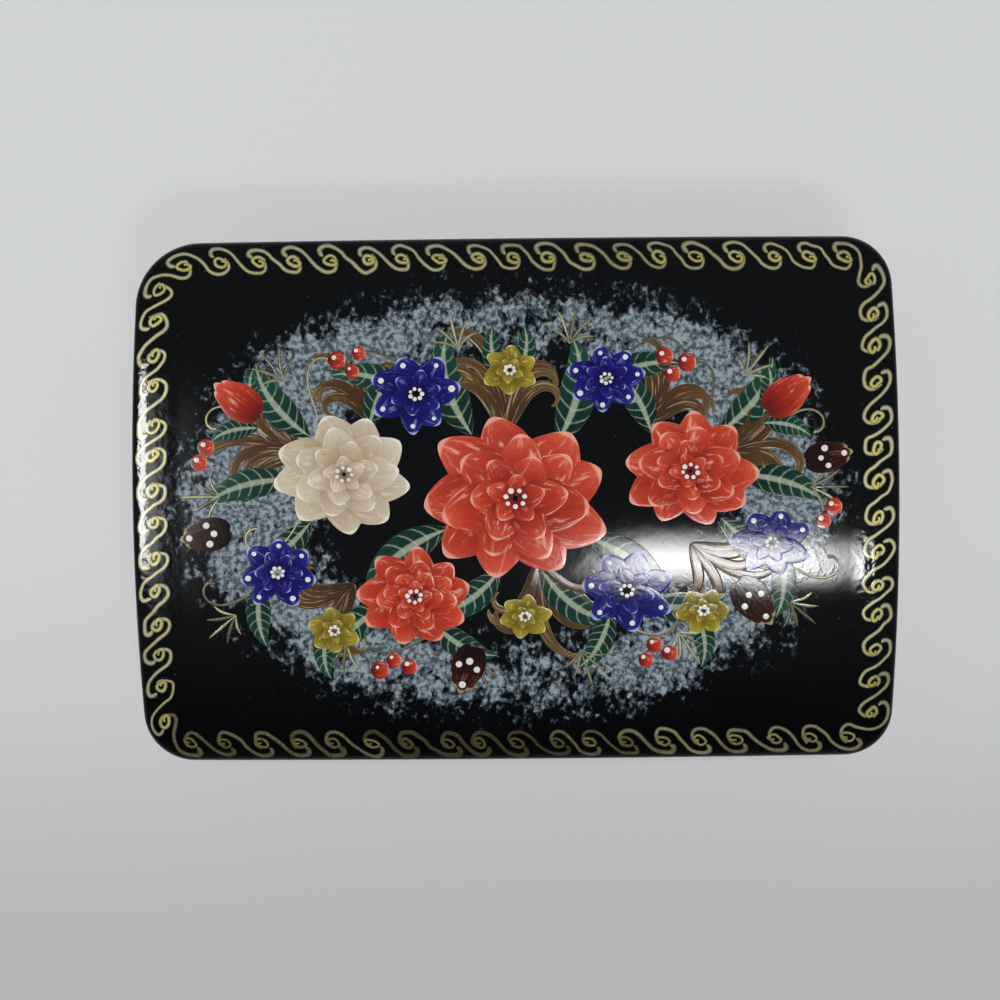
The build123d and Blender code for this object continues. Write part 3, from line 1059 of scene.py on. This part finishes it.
leaf_paint = brush_paint(
    "leaf_paint", (0.002, 0.012, 0.008),
    ((0.0, (0.003, 0.016, 0.010)), (0.5, (0.006, 0.040, 0.026)), (1.0, (0.014, 0.075, 0.046))),
    drawn=leaf_lines,
)
leaf_heading, leaf_size, leaf_wide, leaf_bend = leaf_places[:, 2:].T
leaf_spines = swept(
    leaf_places[:, :2] * mm, np.radians(leaf_heading), leaf_bend, leaf_bend * leaf_curl_share,
    leaf_size * mm, leaf_stations,
)
leaf_widths = leaf_wide[:, None] * mm * swelling(leaf_stations, *leaf_shape)
leaf_lifts = (lowest_leaf + leaf_step * np.arange(len(leaf_places))) * mm
leaves = paint_piece("painted_leaves", [(leaf_spines, leaf_widths, leaf_lifts)], leaf_film, leaf_paint)
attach(leaves, "lid")


# Painted flowers
# Blooms and buds in vermilion, cream, cobalt, maroon and yellow tempera, laid petal by petal from the
# outer ring inwards, each petal shaded at its foot and lit with fine pale lines towards the tip.
# A flower has its place, radius and turn; a bud has its place, heading and length.
red_flowers = ((0.0, 0.5, 11.0, 12), (20.5, 3.5, 7.8, 40), (-12.0, -11.0, 6.6, 5))
cream_flowers = ((-20.0, 3.5, 8.0, 25),)
cobalt_flowers = (
    (13.0, -10.5, 5.6, 15), (-11.5, 12.8, 5.4, 50), (-28.0, -8.0, 4.8, 30), (10.8, 14.4, 4.6, 0),
    (30.0, -5.0, 4.6, 20),
)
yellow_flowers = (
    (-0.5, 15.5, 3.3, 20), (22.0, -13.0, 3.2, 0), (-21.5, -15.0, 3.2, 35), (1.0, -13.5, 3.0, 10),
)
red_buds = ((29.5, 10.5, 36, 6.4), (-30.0, 10.5, 144, 6.4))
maroon_buds = (
    (26.0, -9.5, -52, 6.6), (-33.5, -3.0, 190, 6.0), (34.0, 4.5, 12, 5.6), (-5.0, -17.0, -108, 6.0),
)
# A ring of petals has its foot, its tip and their width as shares of the radius, with the count third.
full_rings = ((0.20, 1.00, 9, 0.66), (0.14, 0.76, 7, 0.56), (0.08, 0.53, 6, 0.42), (0.03, 0.31, 5, 0.26))
cobalt_rings = ((0.18, 1.00, 7, 0.66), (0.10, 0.58, 6, 0.40))
yellow_rings = ((0.12, 1.00, 6, 0.80), (0.05, 0.50, 5, 0.42))
petal_stations = 22
petal_shape = swelling(petal_stations, 0.66, 0.62, 0.03)
petal_film = (0.010 * mm, 11, 10)
low_petals, middle_petals, high_petals = 0.038, 0.040, 0.042
ring_lift, petal_lift, bud_petal_lift = 0.010, 0.0010, 0.002
ring_turn_degrees = 23
petal_sweep = 0.16
petal_turn_wander, petal_length_wander, petal_width_wander = 0.07, 0.05, 0.06
seen_aslant = 0.86
bud_spread = np.array([-0.62, 0.62, -0.32, 0.32, 0.0])
bud_lengths = np.array([0.78, 0.78, 0.92, 0.92, 1.0])
bud_widths = np.array([0.36, 0.36, 0.42, 0.42, 0.44])
bud_bow, bud_hook = 1.1, 0.3


def bloom(x, y, radius, turn_degrees, rings, lowest):
    """Petals of one flower, ring by ring: spines that run outwards and sweep a little to one side,
    flattened as if seen aslant, with widths that end in a round tip."""
    spines, widths, lifts = [], [], []
    t = spaced(petal_stations)
    for number, (inner, outer, count, wide) in enumerate(rings):
        angle = np.radians(turn_degrees + ring_turn_degrees * number) + 2 * np.pi * np.arange(count) / count
        angle = (angle + random.normal(0, petal_turn_wander, count))[:, None]
        along = radius * (inner + (outer - inner) * t * random.normal(1, petal_length_wander, (count, 1)))
        sweep = petal_sweep * radius * (outer - inner) * t**2
        spine = np.stack([
            along * np.cos(angle) - sweep * np.sin(angle),
            (along * np.sin(angle) + sweep * np.cos(angle)) * seen_aslant,
        ], axis=-1)
        spines.append(spine + (x, y))
        widths.append(radius * wide * petal_shape * random.normal(1, petal_width_wander, (count, 1)))
        lifts.append(lowest + ring_lift * number + petal_lift * np.arange(count))
    return np.concatenate(spines) * mm, np.concatenate(widths) * mm, np.concatenate(lifts) * mm


def bud(x, y, heading_degrees, length, lowest):
    """A closed flower: four side petals that bow round a middle one."""
    spines = swept(
        np.full((len(bud_spread), 2), (x, y)) * mm, np.radians(heading_degrees) + bud_spread,
        -bud_spread * bud_bow, -bud_spread * bud_hook, bud_lengths * length * mm, petal_stations,
    )
    widths = bud_widths[:, None] * length * mm * petal_shape
    return spines, widths, (lowest + bud_petal_lift * np.arange(len(bud_spread))) * mm


def petal_lights(pale, contour, hair_amount):
    """Drawing on a petal: a dark contour down its sides, pale hairs, and a pale rim round the tip."""

    def drawn(colour, along, side, streaks):
        outlined = (side.step(0.80, 0.97) * 0.75).mixed(colour, contour)
        hairs = streaks.step(0.55, 0.66) * along.step(0.25, 0.6) * (1 - side.step(0.6, 0.85)) * hair_amount
        rim = (along + side * side * 0.10).step(0.905, 0.955) * (0.45 + streaks * 0.8)
        return rim.math("MAXIMUM", hairs).math("MINIMUM", 1.0).mixed(outlined, pale)

    return drawn


red_paint = brush_paint(
    "red_paint", (0.16, 0.010, 0.006), (
        (0.0, (0.09, 0.006, 0.005)), (0.35, (0.34, 0.022, 0.012)),
        (0.75, (0.56, 0.052, 0.022)), (1.0, (0.66, 0.11, 0.055)),
    ), drawn=petal_lights((0.80, 0.36, 0.27), (0.10, 0.006, 0.005), 0.75),
)
cream_paint = brush_paint(
    "cream_paint", (0.34, 0.25, 0.16), (
        (0.0, (0.16, 0.09, 0.05)), (0.3, (0.42, 0.31, 0.20)),
        (0.7, (0.60, 0.49, 0.35)), (1.0, (0.68, 0.60, 0.47)),
    ), drawn=petal_lights((0.80, 0.74, 0.62), (0.20, 0.12, 0.07), 0.5),
)
cobalt_paint = brush_paint(
    "cobalt_paint", (0.004, 0.003, 0.06),
    ((0.0, (0.003, 0.002, 0.04)), (0.5, (0.007, 0.005, 0.13)), (1.0, (0.018, 0.020, 0.23))),
    drawn=petal_lights((0.40, 0.46, 0.68), (0.002, 0.002, 0.03), 0.35),
)
maroon_paint = brush_paint(
    "maroon_paint", (0.008, 0.003, 0.003),
    ((0.0, (0.008, 0.003, 0.003)), (0.6, (0.026, 0.005, 0.004)), (1.0, (0.055, 0.010, 0.008))),
    drawn=petal_lights((0.36, 0.29, 0.13), (0.004, 0.002, 0.002), 0.25),
)
yellow_paint = brush_paint(
    "yellow_paint", (0.10, 0.066, 0.005),
    ((0.0, (0.09, 0.05, 0.004)), (0.5, (0.22, 0.16, 0.010)), (1.0, (0.42, 0.34, 0.05))),
    drawn=petal_lights((0.66, 0.60, 0.22), (0.06, 0.035, 0.004), 0.5),
)
red_petals = [bloom(*each, full_rings, high_petals) for each in red_flowers]
red_petals += [bud(*each, middle_petals) for each in red_buds]
cream_petals = [bloom(*each, full_rings, high_petals) for each in cream_flowers]
cobalt_petals = [bloom(*each, cobalt_rings, middle_petals) for each in cobalt_flowers]
maroon_petals = [bud(*each, low_petals) for each in maroon_buds]
yellow_petals = [bloom(*each, yellow_rings, middle_petals) for each in yellow_flowers]
for flower_name, petals, flower_paint in (
    ("painted_red_flowers", red_petals, red_paint),
    ("painted_cream_flowers", cream_petals, cream_paint),
    ("painted_cobalt_flowers", cobalt_petals, cobalt_paint),
    ("painted_maroon_flowers", maroon_petals, maroon_paint),
    ("painted_yellow_flowers", yellow_petals, yellow_paint),
):
    painted = paint_piece(flower_name, petals, petal_film, flower_paint)
    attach(painted, "lid")


# Berries and white dots
# Round dabs: vermilion berries in small bunches, and white dots on the cobalt and maroon petals,
# in the hearts of the flowers and on the berries.
berry_places = np.array([
    (-19, 15.5), (-20.8, 16.8), (-18.2, 17.6), (18.5, 14.8), (20.2, 16.2), (17.6, 16.9),
    (16.2, -17.0), (18.0, -18.0), (15.2, -18.8), (-14.5, -18.6), (-12.7, -19.4), (-16.2, -19.8),
    (36.0, -2.5), (37.2, -0.8), (-37.0, 5.0), (-36.2, 6.8),
]) * mm
berry_size, berry_wander = 1.9 * mm, 0.1
berry_lift, berry_film = 0.042 * mm, (0.015 * mm, 9, 4)
berry_dot_shift, berry_dot_size = (-0.3 * mm, 0.35 * mm), 0.5 * mm
petal_dot_station, petal_dot_size = 14, 0.62 * mm
bud_dot_petals, bud_dot_stations, bud_dot_size = [0, 1, 4, 4], [12, 12, 8, 15], 0.75 * mm
heart_dots = 7
heart_least, heart_share = 0.3, 0.075
heart_dot_least, heart_dot_share = 0.36, 0.018
dot_stations, dot_end_share, dot_wander = 9, 0.05, 0.14
dot_lift, dot_film = 0.092 * mm, (0.010 * mm, 7, 6)


def dots(places, sizes):
    """Round dabs as short strokes: a spine as long as the dab is wide, and a circle's widths."""
    t = spaced(dot_stations)
    spines = places[:, None] + np.stack([(t - 0.5) * sizes[:, None], 0 * t * sizes[:, None]], axis=-1)
    widths = sizes[:, None] * np.maximum(2 * np.sqrt(t * (1 - t)), dot_end_share)
    return spines, widths


berry_sizes = berry_size * random.normal(1, berry_wander, len(berry_places))
berry_strokes = [(*dots(berry_places, berry_sizes), berry_lift)]
berries = paint_piece("painted_berries", berry_strokes, berry_film, red_paint)
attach(berries, "lid")

white_paint = brush_paint(
    "white_paint", (0.50, 0.46, 0.40), ((0.0, (0.74, 0.72, 0.68)), (1.0, (0.82, 0.80, 0.76))), streaking=0.2
)
dot_groups = [(berry_places + berry_dot_shift, berry_dot_size)]
for spines, widths, lifts in cobalt_petals:
    dot_groups.append((spines[: cobalt_rings[0][2], petal_dot_station], petal_dot_size))
for spines, widths, lifts in maroon_petals:
    dot_groups.append((spines[bud_dot_petals, bud_dot_stations], bud_dot_size))
for x, y, radius, turn_degrees in red_flowers + cream_flowers + cobalt_flowers + yellow_flowers:
    around = np.linspace(0, 2 * np.pi, heart_dots, endpoint=False) + radius
    heart = pointing(around) * (1, seen_aslant) * (heart_least + heart_share * radius)
    dot_groups.append(((heart + (x, y)) * mm, (heart_dot_least + heart_dot_share * radius) * mm))
dot_places = np.concatenate([places for places, size in dot_groups])
dot_sizes = np.concatenate([np.full(len(places), size) for places, size in dot_groups])
dot_sizes *= random.normal(1, dot_wander, len(dot_sizes))
dot_strokes = [(*dots(dot_places, dot_sizes), dot_lift)]
white_dots = paint_piece("painted_white_dots", dot_strokes, dot_film, white_paint)
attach(white_dots, "lid")


# Studio
# A pale floor under soft light, with a painted shadow darkening it in front of the box. A light a metre
# overhead fills in and is kept out of reflections; a strip, a dimmer sheen beside it and a soft glint show on
# the lacquer.
# The air is dimmer overhead, most of all towards the front.
floor_half = 4.0
floor_drop = 0.02 * mm
floor_mesh = bpy.data.meshes.new("studio_floor")
floor_signs = ((-1, -1), (1, -1), (1, 1), (-1, 1))
floor_corners = [(x * floor_half, y * floor_half, -floor_drop) for x, y in floor_signs]
floor_mesh.from_pydata(floor_corners, [], [(0, 1, 2, 3)])
pale_floor, floor_place = new_material("pale_floor")
floor_tone = floor_place.noise(9, 4) * 0.6 + floor_place.noise(900, 3) * 0.4
floor_colour = floor_tone.mixed((0.71, 0.715, 0.71), (0.76, 0.765, 0.76))
# A painted shadow: the floor's colour is darker in front of the box.
front_shadow = 1 - floor_place.part(1).step(-0.07, 0.0)
shaded(pale_floor, {
    "Base Color": front_shadow.mixed(floor_colour, (0.53, 0.53, 0.52)),
    "Roughness": 0.55,
})
floor_mesh.materials.append(pale_floor)
studio_floor = bpy.data.objects.new("studio_floor", floor_mesh)
bpy.context.scene.collection.objects.link(studio_floor)


def area_light(name, place, aim, size, power, in_reflections=True, on_floor=True, fades=None, turned=0):
    """A flat light that faces the point aimed at, with its first size along x, turned by so many degrees.

    Fades, where given, say how its brightness rises and falls along x and along y: the shares of the
    size between which it rises, and those between which it falls.
    """
    light = bpy.data.lights.new(name, "AREA")
    light.shape, light.energy = "RECTANGLE", power
    light.size, light.size_y = size
    if fades:
        light.use_nodes = True
        light.node_tree.nodes.clear()
        spot = Shade(light.node_tree).node("ShaderNodeNewGeometry", output=5)
        across, along = [
            share.step(start, full) * (1 - share.step(falling, end))
            for share, (start, full, falling, end) in zip((spot.part(0), spot.part(1)), fades)
        ]
        emission = spot.node("ShaderNodeEmission", {}, {"Strength": across * along})
        spot.node("ShaderNodeOutputLight", {}, {"Surface": emission})
    made = bpy.data.objects.new(name, light)
    made.location = place
    back = (Vector(place) - Vector(aim)).normalized()
    side = Vector((0, 1, 0)).cross(back).normalized()
    facing = Matrix((side, back.cross(side), back)).transposed()
    made.rotation_euler = (facing @ Matrix.Rotation(np.radians(turned), 3, "Z")).to_euler()
    made.visible_glossy, made.visible_diffuse = in_reflections, on_floor
    bpy.context.scene.collection.objects.link(made)


lid_middle = (0, 0, 0.034)
strip_fades = (0, 0.25, 0.75, 1), (0, 0.2, 0.8, 1)
sheen_fades = (0, 0.1, 0.5, 0.94), (0, 0.45, 0.6, 1)
glint_fades = (0, 0.2, 0.72, 1), (0, 0.39, 0.44, 1)
area_light("overhead_fill", (0.02, 0.07, 1.0), (0, 0, 0), (0.16, 0.16), 6.6, in_reflections=False)
area_light(
    "left_strip", (-0.28, 0.017, 0.70), lid_middle, (0.08, 0.40), 2.2, on_floor=False, fades=strip_fades
)
area_light(
    "left_sheen", (-0.175, -0.03, 0.70), lid_middle, (0.14, 0.46), 0.66, on_floor=False, fades=sheen_fades
)
area_light(
    "soft_glint", (0.077, -0.140, 0.70), lid_middle, (0.114, 0.105), 1.05, fades=glint_fades, turned=-11
)
world = bpy.data.worlds.new("studio_air")
world.use_nodes = True
world.node_tree.nodes.clear()
towards = Shade(world.node_tree).node("ShaderNodeTexCoord", output=0)
height = towards.part(2)
dark_front = (0 - towards.part(1)).step(0.30, 0.60) * height.step(0.45, 0.7)
brightness = (0.26 - height.step(0.35, 0.8) * 0.14) * (1 - dark_front * 0.85)
background = towards.node("ShaderNodeBackground", {}, {"Color": (0.84, 0.94, 1.06), "Strength": brightness})
towards.node("ShaderNodeOutputWorld", {}, {"Surface": background})
bpy.context.scene.world = world
bpy.context.scene.view_settings.view_transform = "Standard"


# Camera
# Looking down on the lid from a little behind its middle, and almost straight, as in the photograph.
# Its place and turn were fitted to the lid's outline.
camera = bpy.data.cameras.new("camera")
camera.lens, camera.sensor_width = 93.55, 36.0
camera.clip_start, camera.clip_end = 0.01, 10.0
camera_object = bpy.data.objects.new("camera", camera)
camera_object.location = (2.3 * mm, 18.94 * mm, 340 * mm)
camera_object.rotation_mode = "ZXY"
camera_object.rotation_euler = np.radians((-3.511, 0.772, -0.602))
bpy.context.scene.collection.objects.link(camera_object)
bpy.context.scene.camera = camera_object
